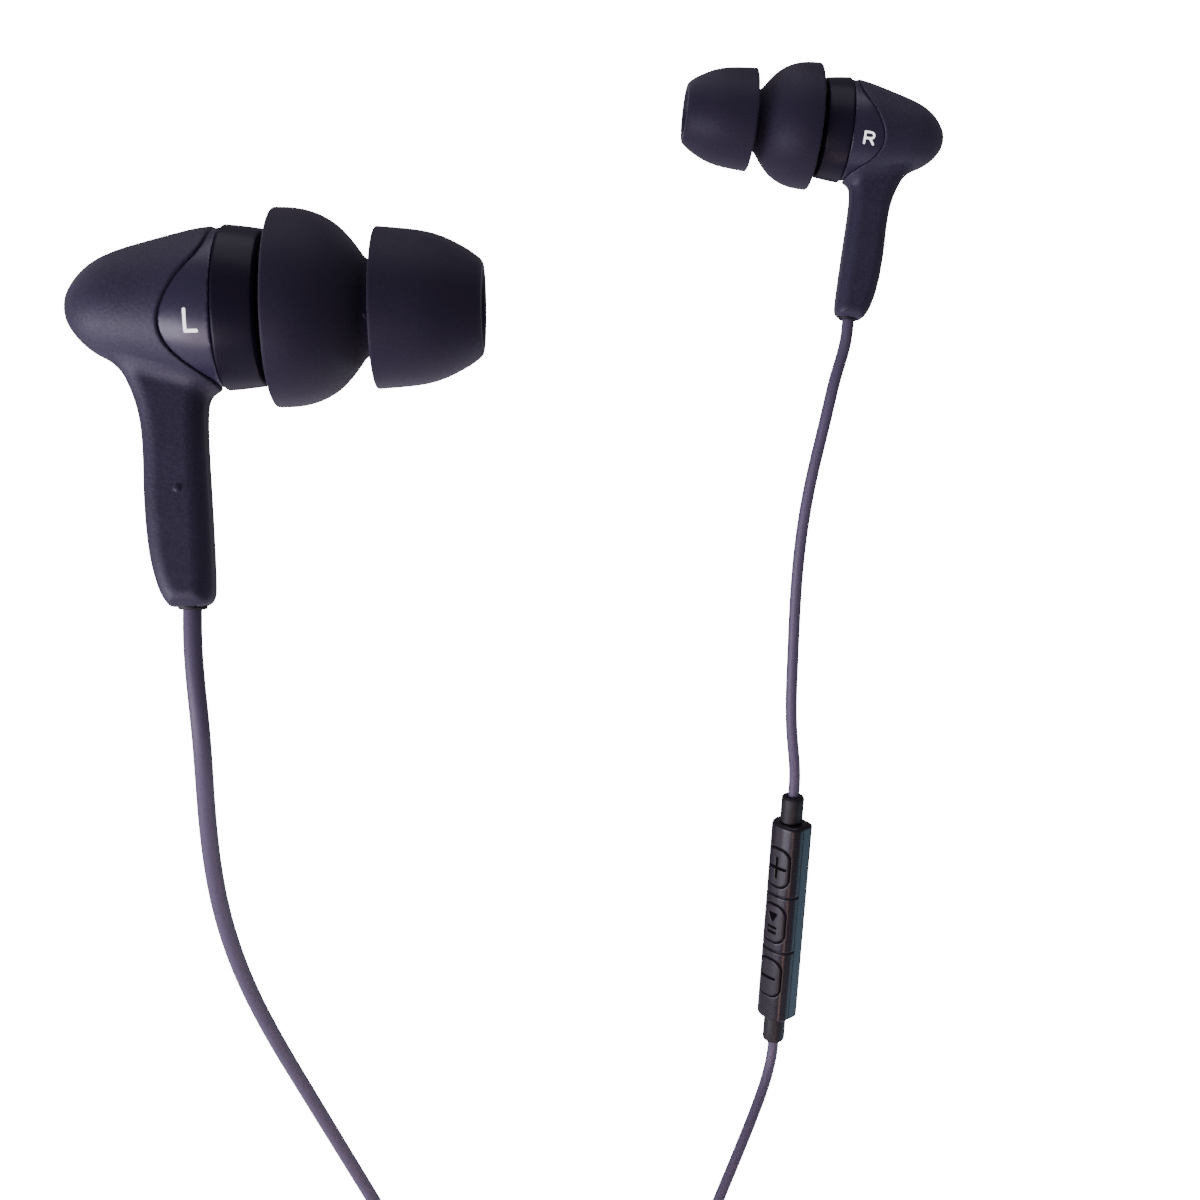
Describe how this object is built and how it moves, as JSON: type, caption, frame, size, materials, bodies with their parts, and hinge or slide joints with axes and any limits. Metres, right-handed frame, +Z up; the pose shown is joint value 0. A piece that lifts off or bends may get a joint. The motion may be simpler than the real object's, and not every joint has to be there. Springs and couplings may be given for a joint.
{
  "type": "wired earphones",
  "caption": "Wired in-ear earphones with double-flange silicone tips, stemmed housings, an inline three-button remote, a tied hank of cord and a 3.5 mm plug.",
  "frame": {"origin": "centre of the left ear tip's front opening, where the ear canal holds it", "axes": "+X along the left earpiece out of its tip, +Y from the left earpiece back to the right one, +Z up; the cords hang along -Z"},
  "size_m": [0.0733, 0.0949, 0.2403],
  "materials": {
    "soft_touch": "fine-grained soft-touch coating, near-black with a violet cast",
    "smooth_plastic": "smooth satin moulded plastic, near-black with a violet cast",
    "trim_ring": "satin to semi-gloss black ring",
    "silicone": "matte black silicone with a faint blue cast",
    "cable": "satin cable jacket, dark purple-grey",
    "moulded_rubber": "matte black moulded rubber",
    "remote_plastic": "satin black plastic",
    "tie_strap": "matte black reusable tie",
    "white_print": "printed white side letters",
    "steel": "plain steel",
    "plated_contact": "nickel plated",
    "copper": "enamelled copper wire",
    "film": "clear amber polymer film",
    "circuit_board": "solder-masked board",
    "insulator": "black insulating plastic"
  },
  "bodies": {
    "root": {"left_rear_housing": "soft_touch", "left_front_shell": "smooth_plastic", "left_trim_ring": "trim_ring", "left_nozzle": "smooth_plastic", "left_nozzle_mesh": "steel", "left_driver_frame": "steel", "left_driver_magnet": "steel", "left_voice_coil": "copper", "left_diaphragm": "film", "left_cord_bush": "moulded_rubber", "right_rear_housing": "soft_touch", "right_front_shell": "smooth_plastic", "right_trim_ring": "trim_ring", "right_nozzle": "smooth_plastic", "right_nozzle_mesh": "steel", "right_driver_frame": "steel", "right_driver_magnet": "steel", "right_voice_coil": "copper", "right_diaphragm": "film", "right_cord_bush": "moulded_rubber", "remote_front_shell": "remote_plastic", "remote_back_shell": "remote_plastic", "remote_top_sleeve": "moulded_rubber", "remote_bottom_sleeve": "moulded_rubber", "remote_circuit_board": "circuit_board", "remote_switch_volume_up": "steel", "remote_switch_play_pause": "steel", "remote_switch_volume_down": "steel", "remote_microphone": "steel", "cord_left": "cable", "cord_right_upper": "cable", "cord_right_lower": "cable", "cord_hank": "cable", "cord_main_tail": "cable", "hank_tie": "tie_strap", "splitter": "moulded_rubber", "plug_strain_relief": "moulded_rubber", "plug_grip": "moulded_rubber", "plug_sleeve_contact": "plated_contact", "plug_microphone_ring": "plated_contact", "plug_right_ring": "plated_contact", "plug_tip_contact": "plated_contact", "plug_insulator": "insulator"},
    "left_tip": {"left_ear_tip": "silicone"},
    "right_tip": {"right_ear_tip": "silicone"},
    "volume_up_button": {"remote_button_volume_up": "remote_plastic"},
    "play_pause_button": {"remote_button_play_pause": "remote_plastic"},
    "volume_down_button": {"remote_button_volume_down": "remote_plastic"}
  },
  "joints": [
    {"name": "left_tip_pull", "type": "slide", "parent": "root", "child": "left_tip", "axis": [1, 0, 0], "range_m": [0, 0.008]},
    {"name": "right_tip_pull", "type": "slide", "parent": "root", "child": "right_tip", "axis": [-0.9933, -0.0363, 0.1094], "range_m": [0, 0.008]},
    {"name": "volume_up_press", "type": "slide", "parent": "root", "child": "volume_up_button", "axis": [0.7494, 0.6597, -0.0565], "range_m": [0, 0.00025], "stiffness_N_per_m": 4000},
    {"name": "play_pause_press", "type": "slide", "parent": "root", "child": "play_pause_button", "axis": [0.7494, 0.6597, -0.0565], "range_m": [0, 0.00025], "stiffness_N_per_m": 4000},
    {"name": "volume_down_press", "type": "slide", "parent": "root", "child": "volume_down_button", "axis": [0.7494, 0.6597, -0.0565], "range_m": [0, 0.00025], "stiffness_N_per_m": 4000}
  ]
}
